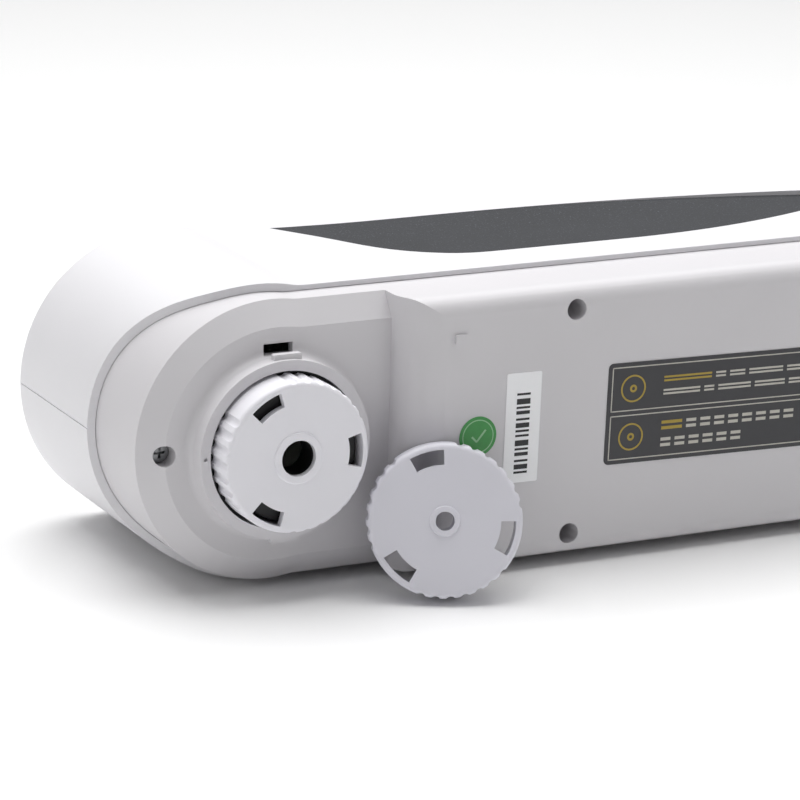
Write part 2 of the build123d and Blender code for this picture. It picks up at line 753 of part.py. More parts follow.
def sphere_half(front, back):
    """The hollow sphere's wall and flange between two depths."""
    with BuildPart() as half:
        with Locations(sphere_place):
            Sphere(sphere_radius)
        flange_front = sphere_centre_y - sphere_flange
        add(port_ring(sphere_flange_radius, 0, flange_front, sphere_centre_y + sphere_flange))
        add(port_ring(sphere_neck_radius, 0, head_plane_y + base_floor + barrel_flange, sphere_centre_y - 6))
        add(port_ring(sensor_boss_radius, 0, sphere_centre_y + 10, led_board_y))
        with Locations(sphere_place):
            Sphere(sphere_bore, mode=Mode.SUBTRACT)
        add(port_ring(port_bore, 0, 0, sphere_centre_y), mode=Mode.SUBTRACT)
        add(port_ring(sensor_radius + 0.05, 0, sphere_centre_y, led_board_y + 1), mode=Mode.SUBTRACT)
        with BuildSketch(facing_base(front)):
            with PolarLocations(sphere_screw_circle, 4, 45):
                Circle(0.8)
        extrude(amount=front - back, mode=Mode.SUBTRACT)
        with BuildSketch(facing_base(front)):
            Circle(sphere_flange_radius + 1)
        extrude(amount=front - back, mode=Mode.INTERSECT)
    return half.part


with BuildPart() as sphere_front_half:
    add(sphere_half(0, sphere_centre_y - base_gap / 2))
sphere_front_half.part.label = "sphere_front_half"
export_step(sphere_front_half.part, "parts/sphere_front_half.step")

with BuildPart() as sphere_rear_half:
    add(sphere_half(sphere_centre_y + base_gap / 2, led_board_y))
sphere_rear_half.part.label = "sphere_rear_half"
export_step(sphere_rear_half.part, "parts/sphere_rear_half.step")

with BuildPart() as sphere_screws:
    with BuildSketch(facing_base(sphere_centre_y - sphere_flange - 1.2)):
        with PolarLocations(sphere_screw_circle, 4, 45):
            Circle(1.5)
    extrude(amount=-1.2)
    with BuildSketch(facing_base(sphere_centre_y - sphere_flange - 1)):
        with PolarLocations(sphere_screw_circle, 4, 45):
            Circle(0.8 - screw_thread_gap)
    extrude(amount=-2 * sphere_flange - 1)
sphere_screws.part.label = "sphere_screws"
export_step(sphere_screws.part, "parts/sphere_screws.step")

with BuildPart() as led_board:
    add(port_ring(led_board_radius, sensor_radius + 0.4, led_board_y, led_board_y + board_thickness))
led_board.part.label = "led_board"
export_step(led_board.part, "parts/led_board.step")

with BuildPart() as colour_sensor:
    add(port_ring(sensor_radius, 0, sphere_centre_y + sphere_bore, led_board_y + board_thickness + 3))
colour_sensor.part.label = "colour_sensor"
export_step(colour_sensor.part, "parts/colour_sensor.step")

# ======== boards and battery ========
with BuildPart() as main_board:
    with BuildSketch(facing_base(main_board_y)):
        with Locations(((main_board_start + main_board_end) / 2, 0)):
            RectangleRounded(main_board_end - main_board_start, 2 * main_board_half_width, 2)
        with Locations(*board_screws_at):
            Circle(pilot_radius, mode=Mode.SUBTRACT)
    extrude(amount=-board_thickness)
main_board.part.label = "main_board"
export_step(main_board.part, "parts/main_board.step")

with BuildPart() as board_screws:
    with BuildSketch(facing_base(main_board_y)):
        with Locations(*board_screws_at):
            Circle(screw_head_radius)
    extrude(amount=1.5)
    with BuildSketch(facing_base(main_board_y)):
        with Locations(*board_screws_at):
            Circle(screw_shaft_radius - screw_thread_gap)
    extrude(amount=-board_thickness - board_screw_bite + 0.5)
board_screws.part.label = "board_screws"
export_step(board_screws.part, "parts/board_screws.step")

with BuildPart() as battery_pack:
    with BuildSketch(facing_base(handle_plane_y + base_floor + base_gap)):
        with Locations((battery_x, 0)):
            RectangleRounded(battery_length, battery_width, 3)
    extrude(amount=-battery_height)
    fillet(battery_pack.faces().sort_by(Axis.Y)[-1].edges(), 1.5)
battery_pack.part.label = "battery_pack"
export_step(battery_pack.part, "parts/battery_pack.step")

with BuildPart() as buzzer:
    with BuildSketch(facing_base(main_board_y - 4)):
        with Locations((44, 12)):
            Circle(6)
            Circle(1, mode=Mode.SUBTRACT)
    extrude(amount=-4)
buzzer.part.label = "buzzer"
export_step(buzzer.part, "parts/buzzer.step")

# ======== display ========
with BuildPart() as display_bezel:
    extrude(bezel_outline(head_face_y - bezel_depth, 0), amount=-bezel_depth)
    with BuildSketch(facing_base(head_face_y - bezel_depth)):
        with Locations((window_x, 0)):
            RectangleRounded(window_length - 3, window_width - 3, 1.5)
    extrude(amount=-bezel_depth, mode=Mode.SUBTRACT)
    with BuildSketch(facing_base(head_face_y - window_depth)):
        with Locations((window_x, 0)):
            RectangleRounded(window_length, window_width, 2)
    extrude(amount=-window_depth, mode=Mode.SUBTRACT)
display_bezel.part.label = "display_bezel"
export_step(display_bezel.part, "parts/display_bezel.step")

with BuildPart() as display_window:
    with BuildSketch(facing_base(head_face_y - window_depth)):
        with Locations((window_x, 0)):
            RectangleRounded(window_length - 2 * bezel_gap, window_width - 2 * bezel_gap, 2 - bezel_gap)
    extrude(amount=-window_depth + 0.1)
display_window.part.label = "display_window"
export_step(display_window.part, "parts/display_window.step")

with BuildPart() as display_module:
    with BuildSketch(facing_base(head_face_y - face_wall - module_depth)):
        with Locations((window_x + 1, 0)):
            RectangleRounded(window_length + 5, window_width + 6, 1)
    extrude(amount=-module_depth)
    with BuildSketch(facing_base(head_face_y - face_wall)):
        with Locations((window_x, 0)):
            Rectangle(window_length - 4, window_width - 4)
    extrude(amount=-face_wall + bezel_depth + 0.1)
display_module.part.label = "display_module"
export_step(display_module.part, "parts/display_module.step")


# ======== keys ========
for name, (x, z, half_length, half_width) in keys.items():
    flange_top = handle_face_y - face_wall - display_drop(x + half_length + key_flange_rim) - key_slack
    flange_foot = flange_top - key_flange
    with BuildPart() as key:
        add(key_prism(x, z, half_length, half_width, flange_foot))
        add(side_prism(display_curve(-key_lift), 0), mode=Mode.INTERSECT)
        top = key.faces().sort_by(Axis.Y)[-1]
        fillet(top.edges(), 0.5)
        with BuildSketch(facing_base(flange_foot)):
            with Locations((x, z)):
                RectangleRounded(
                    2 * (half_length + key_flange_rim),
                    2 * (half_width + key_flange_rim),
                    min(half_length, half_width) + key_flange_rim - 0.05,
                )
        extrude(amount=-key_flange)
        with BuildSketch(facing_base(mat_top_y + key_travel + key_slack)):
            with Locations((x, z)):
                Circle(1.6)
        extrude(amount=mat_top_y + key_travel + key_slack - flange_foot - 0.1)
    key.part.label = name
    export_step(key.part, f"parts/{name}.step")

for name, top, thickness in (
    ("key_mat", mat_top_y, mat_thickness),
    ("key_board", mat_top_y - mat_thickness - 0.05, key_board_thickness),
):
    with BuildPart() as sheet:
        with BuildSketch(facing_base(top)):
            with Locations(((mat_start + mat_end) / 2, 0)):
                RectangleRounded(mat_end - mat_start, 2 * mat_half_width, 2)
            with Locations(*board_screws_at):
                Circle(post_radius + 0.5, mode=Mode.SUBTRACT)
        extrude(amount=thickness)
    sheet.part.label = name
    export_step(sheet.part, f"parts/{name}.step")

# ======== tail ========
panel_back_x = tail_x - tail_panel_depth
with BuildPart() as tail_panel:
    with BuildSketch(Plane.YZ.offset(panel_back_x)):
        with Locations((tail_panel_y, 0)):
            RectangleRounded(
                tail_panel_height - 2 * bezel_gap,
                tail_panel_width - 2 * bezel_gap,
                tail_panel_round - bezel_gap,
            )
        with Locations((tail_panel_y, usb_z)):
            RectangleRounded(usb_height + 0.3, usb_width + 0.3, 0.6, mode=Mode.SUBTRACT)
        with Locations((tail_panel_y, jack_z)):
            Circle(jack_radius, mode=Mode.SUBTRACT)
        with Locations((tail_panel_y, 0)):
            RectangleRounded(slide_slot_height, slide_slot_width, 0.8, mode=Mode.SUBTRACT)
    extrude(amount=tail_panel_depth - 0.1)
tail_panel.part.label = "tail_panel"
export_step(tail_panel.part, "parts/tail_panel.step")

with BuildPart() as usb_socket:
    with BuildSketch(Plane.YZ.offset(tail_board_x)):
        with Locations((tail_panel_y, usb_z)):
            RectangleRounded(usb_height, usb_width, 0.5)
    extrude(amount=tail_x - 0.4 - tail_board_x)
    with BuildSketch(Plane.YZ.offset(tail_board_x + 1)):
        with Locations((tail_panel_y, usb_z)):
            RectangleRounded(usb_height - 0.8, usb_width - 0.8, 0.3)
    extrude(amount=tail_x, mode=Mode.SUBTRACT)
    with BuildSketch(Plane.YZ.offset(tail_board_x + 0.5)):
        with Locations((tail_panel_y, usb_z)):
            Rectangle(0.9, usb_width - 2.2)
    extrude(amount=tail_x - 1.5 - tail_board_x)
usb_socket.part.label = "usb_socket"
export_step(usb_socket.part, "parts/usb_socket.step")

with BuildPart() as power_socket:
    with BuildSketch(Plane.YZ.offset(tail_board_x)):
        with Locations((tail_panel_y, jack_z)):
            RectangleRounded(9, 9, 0.8)
    extrude(amount=panel_back_x - 0.1 - tail_board_x)
    with BuildSketch(Plane.YZ.offset(tail_board_x + 1.5)):
        with Locations((tail_panel_y, jack_z)):
            Circle(jack_radius - 0.3)
            Circle(0.65, mode=Mode.SUBTRACT)
    extrude(amount=tail_x, mode=Mode.SUBTRACT)
power_socket.part.label = "power_socket"
export_step(power_socket.part, "parts/power_socket.step")

slider_rest_z = -slider_travel / 2
with BuildPart() as power_slider:
    knob_width = slide_slot_width - slider_travel - 0.4
    with BuildSketch(Plane.YZ.offset(panel_back_x - 0.2)):
        with Locations((tail_panel_y, slider_rest_z)):
            RectangleRounded(slide_slot_height - 0.4, knob_width, 0.6)
    extrude(amount=tail_panel_depth + 1.4)
    with BuildSketch(Plane.YZ.offset(panel_back_x - 1.2)):
        with Locations((tail_panel_y, slider_rest_z)):
            RectangleRounded(slide_slot_height + 1.6, knob_width + 2, 0.6)
    extrude(amount=1.1)
    with BuildSketch(Plane.YZ.offset(tail_x + 1.2)):
        with Locations(*[(tail_panel_y, slider_rest_z + shift) for shift in (-1.4, 0, 1.4)]):
            Rectangle(slide_slot_height, 0.5)
    extrude(amount=-0.4, mode=Mode.SUBTRACT)
power_slider.part.label = "power_slider"
export_step(power_slider.part, "parts/power_slider.step")

with BuildPart() as power_switch:
    with BuildSketch(Plane.YZ.offset(tail_board_x)):
        with Locations((tail_panel_y, 0)):
            RectangleRounded(7, slide_slot_width + 2, 0.5)
    extrude(amount=panel_back_x - 1.4 - tail_board_x)
power_switch.part.label = "power_switch"
export_step(power_switch.part, "parts/power_switch.step")

with BuildPart() as tail_board:
    with BuildSketch(Plane.YZ.offset(tail_board_x - 1.2)):
        with Locations((tail_panel_y, 0)):
            RectangleRounded(16, 34, 1)
    extrude(amount=1.2)
tail_board.part.label = "tail_board"
export_step(tail_board.part, "parts/tail_board.step")

# ======== labels on the base ========
with BuildPart() as rating_label:
    with BuildSketch(facing_base(handle_plane_y)):
        with Locations(Location((rating_label_start + rating_label_length / 2, 0.2), rating_label_tilt)):
            RectangleRounded(rating_label_length, rating_label_height, 1.2)
    extrude(amount=label_thickness)
rating_label.part.label = "rating_label"
export_step(rating_label.part, "parts/rating_label.step")

with BuildPart() as serial_label:
    with BuildSketch(facing_base(handle_plane_y)):
        with Locations(Location((serial_label_x, 0.2), serial_label_tilt)):
            RectangleRounded(serial_label_width, serial_label_height, 0.4)
    extrude(amount=label_thickness)
serial_label.part.label = "serial_label"
export_step(serial_label.part, "parts/serial_label.step")

with BuildPart() as inspection_dot:
    with BuildSketch(facing_base(handle_plane_y)):
        with Locations((dot_x, dot_z)):
            Circle(dot_radius)
    extrude(amount=label_thickness)
inspection_dot.part.label = "inspection_dot"
export_step(inspection_dot.part, "parts/inspection_dot.step")
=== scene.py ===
"""Handheld colour meter lying on its side with its spare aperture cap: finishes, prints, light and camera.

Metres, in the model's own frame: the measuring port looks along -Y, the tail lies at +X, and +Z is up.
"""
import json
from math import cos, pi, radians, sin

import bmesh
import bpy
from mathutils import Matrix, Vector
from mathutils.bvhtree import BVHTree


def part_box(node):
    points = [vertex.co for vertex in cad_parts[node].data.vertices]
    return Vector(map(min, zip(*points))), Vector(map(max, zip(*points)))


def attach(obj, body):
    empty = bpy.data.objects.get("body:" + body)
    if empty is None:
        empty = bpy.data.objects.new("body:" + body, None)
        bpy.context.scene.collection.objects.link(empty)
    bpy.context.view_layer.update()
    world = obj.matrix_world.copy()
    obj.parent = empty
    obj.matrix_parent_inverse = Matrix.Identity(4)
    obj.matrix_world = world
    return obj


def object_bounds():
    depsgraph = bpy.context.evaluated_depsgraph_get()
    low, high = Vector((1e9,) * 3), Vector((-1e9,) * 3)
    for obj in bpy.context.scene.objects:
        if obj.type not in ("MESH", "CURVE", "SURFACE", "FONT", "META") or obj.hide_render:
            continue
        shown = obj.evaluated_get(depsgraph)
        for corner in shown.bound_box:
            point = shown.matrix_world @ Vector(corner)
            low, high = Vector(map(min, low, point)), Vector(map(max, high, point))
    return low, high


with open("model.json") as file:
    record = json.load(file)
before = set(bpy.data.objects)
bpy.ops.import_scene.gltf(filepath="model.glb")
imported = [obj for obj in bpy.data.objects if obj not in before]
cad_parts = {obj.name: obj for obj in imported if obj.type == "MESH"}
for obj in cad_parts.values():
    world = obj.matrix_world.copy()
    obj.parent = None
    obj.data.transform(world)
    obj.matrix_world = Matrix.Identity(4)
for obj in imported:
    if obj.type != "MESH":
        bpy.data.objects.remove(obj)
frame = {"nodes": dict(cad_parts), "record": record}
cad_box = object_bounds()

MM = 0.001
BODY = "meter"


# ---- materials ----
PLASTIC_IOR = 1.5
COLOUR_DRIFT = 35.0     # mm across one patch of slightly different colour
FINE_RELIEF = 0.02      # mm from the lowest to the highest point of a fine grain


def linear(hex_colour):
    """A linear RGBA colour from an sRGB hex string."""
    channels = [int(hex_colour[i:i + 2], 16) / 255 for i in (1, 3, 5)]
    return [c / 12.92 if c <= 0.04045 else ((c + 0.055) / 1.055) ** 2.4 for c in channels] + [1.0]


def add_node(tree, kind, inputs=None, **settings):
    """Adds a node, sets its properties, and fills its inputs with values or with links from sockets."""
    made = tree.nodes.new(kind)
    for name, value in settings.items():
        setattr(made, name, value)
    for name, value in (inputs or {}).items():
        if isinstance(value, bpy.types.NodeSocket):
            tree.links.new(value, made.inputs[name])
        else:
            made.inputs[name].default_value = value
    return made


def new_material(name):
    """An empty node material and its tree."""
    material = bpy.data.materials.new(name)
    material.use_nodes = True
    material.node_tree.nodes.clear()
    return material, material.node_tree


def finish_material(tree, colour, normal=None, **uniform):
    """Adds the shader and the output. Uniform values sit on the shader's own sockets."""
    inputs = {"Base Color": colour}
    inputs.update({name.replace("_", " "): value for name, value in uniform.items()})
    if normal is not None:
        inputs["Normal"] = normal
    shader = add_node(tree, "ShaderNodeBsdfPrincipled", inputs)
    add_node(tree, "ShaderNodeOutputMaterial", {"Surface": shader.outputs[0]})
    return shader


def spark_eroded_plastic(name, base, tint, rough, grain_mm, relief):
    """Injection-moulded plastic: the eroded mould leaves a fine even grain, and the colour drifts."""
    material, tree = new_material(name)
    place = add_node(tree, "ShaderNodeTexCoord").outputs["Object"]
    drift = add_node(
        tree, "ShaderNodeTexNoise", {"Vector": place, "Scale": 1000 / COLOUR_DRIFT, "Detail": 2.0}
    )
    colour = add_node(
        tree, "ShaderNodeMix",
        {"Factor": drift.outputs["Fac"], "A": linear(base), "B": linear(tint)}, data_type="RGBA",
    )
    grain = add_node(tree, "ShaderNodeTexNoise", {"Vector": place, "Scale": 1000 / grain_mm, "Detail": 3.0})
    sheen_spread = add_node(
        tree, "ShaderNodeMapRange",
        {"Value": grain.outputs["Fac"], "From Min": 0.3, "From Max": 0.7,
         "To Min": rough - 0.04, "To Max": rough + 0.06},
    )
    bump = add_node(
        tree, "ShaderNodeBump",
        {"Height": grain.outputs["Fac"], "Strength": relief, "Distance": FINE_RELIEF * MM},
    )
    finish_material(
        tree, colour.outputs["Result"], bump.outputs["Normal"],
        Roughness=sheen_spread.outputs["Result"], IOR=PLASTIC_IOR,
    )
    return material


white_abs = spark_eroded_plastic("white moulded ABS", "#e8e7ea", "#e4e3e6", 0.42, 0.35, 0.12)
grey_abs = spark_eroded_plastic("pale grey moulded ABS", "#d8d6d9", "#d3d1d4", 0.46, 0.35, 0.16)
cap_abs = spark_eroded_plastic("smooth white cap ABS", "#f1f0f5", "#edecf2", 0.36, 0.6, 0.05)
# a darker copy of the cap finish: painted shade on the leaning spare cap
shaded_spare_cap_abs = spark_eroded_plastic("smooth cap ABS with painted shade", "#e0dfe7", "#dcdbe3", 0.36, 0.6, 0.05)
black_abs = spark_eroded_plastic("matt black ABS", "#1b1b1d", "#141416", 0.55, 0.3, 0.25)
key_abs = spark_eroded_plastic("dark grey key ABS", "#3d4046", "#383b41", 0.45, 0.3, 0.2)


def grained_rubber():
    """Thermoplastic rubber: a deep sand grain that takes the gloss off and sparkles in raking light."""
    material, tree = new_material("sand-grained grip rubber")
    place = add_node(tree, "ShaderNodeTexCoord").outputs["Object"]
    # the real grain is about 0.25 mm across; it is drawn at 0.5 mm so that it shows
    grain = add_node(tree, "ShaderNodeTexVoronoi", {"Vector": place, "Scale": 1000 / 0.5})
    dust = add_node(tree, "ShaderNodeTexNoise", {"Vector": place, "Scale": 1000 / 0.4, "Detail": 2.0})
    patches = add_node(tree, "ShaderNodeTexNoise", {"Vector": place, "Scale": 1000 / 18.0, "Detail": 3.0})
    flecks = add_node(
        tree, "ShaderNodeMapRange",
        {"Value": dust.outputs["Fac"], "From Min": 0.62, "From Max": 0.74, "To Min": 0.0, "To Max": 0.45},
    )
    base = add_node(
        tree, "ShaderNodeMix",
        {"Factor": patches.outputs["Fac"], "A": linear("#222428"), "B": linear("#2c2e33")}, data_type="RGBA",
    )
    colour = add_node(
        tree, "ShaderNodeMix",
        {"Factor": flecks.outputs["Result"], "A": base.outputs["Result"], "B": linear("#7c818b")},
        data_type="RGBA",
    )
    bump = add_node(
        tree, "ShaderNodeBump", {"Height": grain.outputs["Distance"], "Strength": 0.5, "Distance": 0.08 * MM}
    )
    finish_material(tree, colour.outputs["Result"], bump.outputs["Normal"], Roughness=0.72, IOR=PLASTIC_IOR)
    return material


def plated_steel():
    """Zinc-plated screw steel: a soft metal gloss with fine turning marks."""
    material, tree = new_material("zinc-plated steel")
    place = add_node(tree, "ShaderNodeTexCoord").outputs["Object"]
    marks = add_node(tree, "ShaderNodeTexNoise", {"Vector": place, "Scale": 1000 / 0.4, "Detail": 4.0})
    rough = add_node(
        tree, "ShaderNodeMapRange", {"Value": marks.outputs["Fac"], "To Min": 0.22, "To Max": 0.45}
    )
    colour = add_node(
        tree, "ShaderNodeMix",
        {"Factor": marks.outputs["Fac"], "A": linear("#77797b"), "B": linear("#a2a3a4")}, data_type="RGBA",
    )
    finish_material(tree, colour.outputs["Result"], Metallic=1.0, Roughness=rough.outputs["Result"])
    return material


def printed_film(name, base, tint, rough, relief):
    """Printed polyester label stock: an even ink layer with the faint orange peel of the film."""
    material, tree = new_material(name)
    place = add_node(tree, "ShaderNodeTexCoord").outputs["Object"]
    peel = add_node(tree, "ShaderNodeTexNoise", {"Vector": place, "Scale": 1000 / 1.2, "Detail": 2.0})
    colour = add_node(
        tree, "ShaderNodeMix",
        {"Factor": peel.outputs["Fac"], "A": linear(base), "B": linear(tint)}, data_type="RGBA",
    )
    bump = add_node(
        tree, "ShaderNodeBump",
        {"Height": peel.outputs["Fac"], "Strength": relief, "Distance": FINE_RELIEF * MM},
    )
    finish_material(tree, colour.outputs["Result"], bump.outputs["Normal"], Roughness=rough, IOR=PLASTIC_IOR)
    return material


def circuit_laminate():
    """Green solder mask over copper: pale tracks show through as straight bands."""
    material, tree = new_material("solder-masked circuit board")
    place = add_node(tree, "ShaderNodeTexCoord").outputs["Object"]
    tracks = add_node(
        tree, "ShaderNodeTexBrick",
        {"Vector": place, "Scale": 1000 / 6.0, "Color1": linear("#0f5a2c"), "Color2": linear("#0c4f27"),
         "Mortar": linear("#2f8a4c"), "Mortar Size": 0.03},
    )
    finish_material(tree, tracks.outputs["Color"], Roughness=0.35, IOR=PLASTIC_IOR)
    return material


def shrink_wrap():
    """Blue heat-shrink film round the cells: glossy, with soft wrinkles."""
    material, tree = new_material("blue shrink wrap")
    place = add_node(tree, "ShaderNodeTexCoord").outputs["Object"]
    folds = add_node(tree, "ShaderNodeTexNoise", {"Vector": place, "Scale": 1000 / 7.0, "Detail": 2.0})
    colour = add_node(
        tree, "ShaderNodeMix",
        {"Factor": folds.outputs["Fac"], "A": linear("#2a4a86"), "B": linear("#34579a")}, data_type="RGBA",
    )
    bump = add_node(
        tree, "ShaderNodeBump", {"Height": folds.outputs["Fac"], "Strength": 0.4, "Distance": 0.3 * MM}
    )
    finish_material(tree, colour.outputs["Result"], bump.outputs["Normal"], Roughness=0.3)
    return material


def hard_coated_acrylic():
    """Clear display window: a faintly blue acrylic with a gloss hard coat and a few smears."""
    material, tree = new_material("hard-coated acrylic")
    place = add_node(tree, "ShaderNodeTexCoord").outputs["Object"]
    smear = add_node(tree, "ShaderNodeTexNoise", {"Vector": place, "Scale": 1000 / 9.0, "Detail": 3.0})
    rough = add_node(
        tree, "ShaderNodeMapRange", {"Value": smear.outputs["Fac"], "To Min": 0.03, "To Max": 0.09}
    )
    finish_material(
        tree, linear("#dfe6ea"), Roughness=rough.outputs["Result"], IOR=1.49, Transmission_Weight=1.0
    )
    return material


steel = plated_steel()
rubber = grained_rubber()
board_green = circuit_laminate()
cell_wrap = shrink_wrap()
acrylic = hard_coated_acrylic()
silicone = spark_eroded_plastic("grey silicone rubber", "#7d7f82", "#74777a", 0.6, 0.5, 0.2)
white_paint = spark_eroded_plastic("matt white sphere coating", "#f2f1ec", "#edece6", 0.9, 0.4, 0.3)
black_film = printed_film("black printed polyester", "#2e2e32", "#333337", 0.28, 0.25)
white_film = printed_film("white printed paper", "#fdfdff", "#f8f9fb", 0.55, 0.15)
green_film = printed_film("green printed foil", "#3f9d4a", "#378f43", 0.35, 0.15)
pale_ink = printed_film("pale ink", "#c9c6bd", "#bcb9b0", 0.5, 0.1)
black_ink = printed_film("black ink", "#222224", "#2b2b2d", 0.5, 0.1)
pale_green_ink = printed_film("pale green ink", "#9fcfa3", "#93c598", 0.5, 0.1)
yellow_ink = printed_film("dull yellow ink", "#b39a3c", "#a68e36", 0.5, 0.1)
key_ink = printed_film("white key ink", "#e9ebee", "#dfe2e6", 0.45, 0.1)
screen_glass = printed_film("unlit screen glass", "#9aa596", "#939e8f", 0.18, 0.05)
screen_ink = printed_film("dark screen segments", "#2c342e", "#323a34", 0.3, 0.05)

SLOT_FINISH = {
    "white_housing": white_abs, "grey_housing": grey_abs, "grip_rubber": rubber, "cap_plastic": cap_abs,
    "black_plastic": black_abs, "white_coating": white_paint, "steel": steel, "circuit_board": board_green,
    "battery_wrap": cell_wrap, "window": acrylic, "key_plastic": key_abs, "silicone": silicone,
    "black_label": black_film, "white_label": white_film, "green_label": green_film,
}
for part in frame["record"]["subparts"]:
    mesh = frame["nodes"][part["node"]].data
    mesh.materials.clear()
    mesh.materials.append(SLOT_FINISH[part["material_slot"]])
# the spare cap gets a darker copy of the cap finish: painted shade for the leaning cap
frame["nodes"]["aperture_cap_4mm"].data.materials[0] = shaded_spare_cap_abs


# ---- new pieces ----
def keep_piece(name, bm, material, body):
    """Makes the finished mesh an object that rides on its body."""
    bmesh.ops.remove_doubles(bm, verts=bm.verts, dist=1e-8)
    bmesh.ops.recalc_face_normals(bm, faces=bm.faces)
    mesh = bpy.data.meshes.new(name)
    bm.to_mesh(mesh)
    bm.free()
    mesh.materials.append(material)
    piece = bpy.data.objects.new(name, mesh)
    bpy.context.scene.collection.objects.link(piece)
    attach(piece, body)
    return piece


INK = 0.03              # how far the ink stands on its film, in mm
WORD_GAP = 1.1          # between two word bars on the rating label, in mm
SCREEN_WORD_GAP = 1.2   # and on the screen
PAINTED_SHADE_RADIUS = 3.97    # the black sleeve of painted shade lies just inside the 8.1 mm aperture
PAINTED_SHADE_WALL = 0.06


def base_print(node, turn=0.0):
    """The place of a print on a base label: its x and z run along the label from its centre, y inwards."""
    low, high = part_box(node)
    middle = (low + high) / 2
    return Matrix.Translation((middle.x, low.y, middle.z)) @ Matrix.Rotation(radians(turn), 4, "Y")


def add_bar(bm, place, x, z, width, height):
    """A flat printed bar, in mm from the print's centre."""
    flat = Matrix.Diagonal((width * MM, 2 * INK * MM, height * MM, 1))
    bmesh.ops.create_cube(bm, size=1.0, matrix=place @ Matrix.Translation((x * MM, 0, z * MM)) @ flat)


def add_loop(bm, place, x, z, outer, line, sides=48):
    """A printed ring. With three sides it is the outline of a triangle."""
    turn = place @ Matrix.Translation((x * MM, INK * MM, z * MM)) @ Matrix.Rotation(pi / 2, 4, "X")
    made = bmesh.ops.create_circle(bm, cap_ends=True, radius=outer * MM, segments=sides)
    hole = made["verts"][0].link_faces[0]
    bmesh.ops.inset_individual(bm, faces=[hole], thickness=line * MM, use_even_offset=True)
    raised = [f for f in {g for v in made["verts"] for g in v.link_faces} if f is not hole]
    bmesh.ops.delete(bm, geom=[hole], context="FACES_ONLY")
    walls = bmesh.ops.extrude_face_region(bm, geom=raised)
    lifted = [v for v in walls["geom"] if isinstance(v, bmesh.types.BMVert)]
    bmesh.ops.translate(bm, verts=lifted, vec=(0, 0, 2 * INK * MM))
    every = list({v for f in raised for v in f.verts} | set(lifted))
    bmesh.ops.transform(bm, matrix=turn, verts=every)


def add_frame(bm, place, x, z, width, height, line):
    """A thin printed frame with square corners."""
    for side in (-1, 1):
        add_bar(bm, place, x, z + side * (height - line) / 2, width, line)
        add_bar(bm, place, x + side * (width - line) / 2, z, line, height)


def print_rating_label():
    """Two framed panels, each with a plain ring sign and rows of blank word bars."""
    place = base_print("rating_label", 1.2)
    pale, yellow = bmesh.new(), bmesh.new()
    # each row: height of its middle, bar height, whether its first bar is yellow, and the bars' widths
    rows = (
        (7.3, 1.5, True, (12.5, 2.6, 4.0, 9.0, 7.4)),
        (4.2, 1.5, False, (9.6, 2.6, 8.6, 8.0, 7.0)),
        (-3.6, 2.4, True, (5.4, 2.6, 2.6, 2.6, 2.6, 2.6, 2.6, 2.6, 2.6)),
        (-7.6, 2.4, False, (2.6, 2.6, 2.6, 2.6, 2.6, 2.6)),
    )
    for middle in (5.65, -5.65):
        add_frame(pale, place, 0, middle, 56.0, 10.4, 0.25)
        add_loop(yellow, place, -22.4, middle, 3.2, 0.4)
        add_loop(yellow, place, -22.4, middle, 0.9, 0.5)
    for height, bar, starts_yellow, widths in rows:
        left = -14.5
        for count, width in enumerate(widths):
            ink = yellow if starts_yellow and count == 0 else pale
            for side in (-1, 1):
                add_bar(ink, place, left + width / 2, height + side * bar * 0.28, width, bar * 0.3)
            left += width + WORD_GAP
    keep_piece("rating_label_pale_print", pale, pale_ink, BODY)
    keep_piece("rating_label_yellow_print", yellow, yellow_ink, BODY)


def print_serial_label():
    """A blank ladder of thick and thin bars."""
    place = base_print("serial_label", 1.0)
    bm = bmesh.new()
    rungs = ((0.5, 0.5), (1.1, 0.6), (0.5, 0.9), (0.8, 0.5), (0.5, 0.5), (1.3, 0.8), (0.5, 0.6))
    along = -10.6
    for thick, gap in rungs * 2:
        add_bar(bm, place, 0, along + thick / 2, 3.4, thick)
        along += thick + gap
    keep_piece("serial_label_print", bm, black_ink, BODY)


def print_inspection_dot():
    """A pale ring and tick on the green dot."""
    place = base_print("inspection_dot")
    bm = bmesh.new()
    add_loop(bm, place, 0, 0, 3.9, 0.25)
    for x, z, length, turn in ((-0.9, -0.6, 1.8, 45), (0.8, 0.1, 3.4, -50)):
        tilt = place @ Matrix.Translation((x * MM, 0, z * MM)) @ Matrix.Rotation(radians(turn), 4, "Y")
        add_bar(bm, tilt, 0, 0, length, 0.45)
    keep_piece("inspection_dot_print", bm, pale_green_ink, BODY)


def surface_height(node, x, z):
    """How far out a node's display side reaches at this x and z, in metres."""
    bm = bmesh.new()
    bm.from_mesh(frame["nodes"][node].data)
    hit = BVHTree.FromBMesh(bm).ray_cast(Vector((x, 1.0, z)), Vector((0, -1, 0)))[0]
    bm.free()
    return hit.y


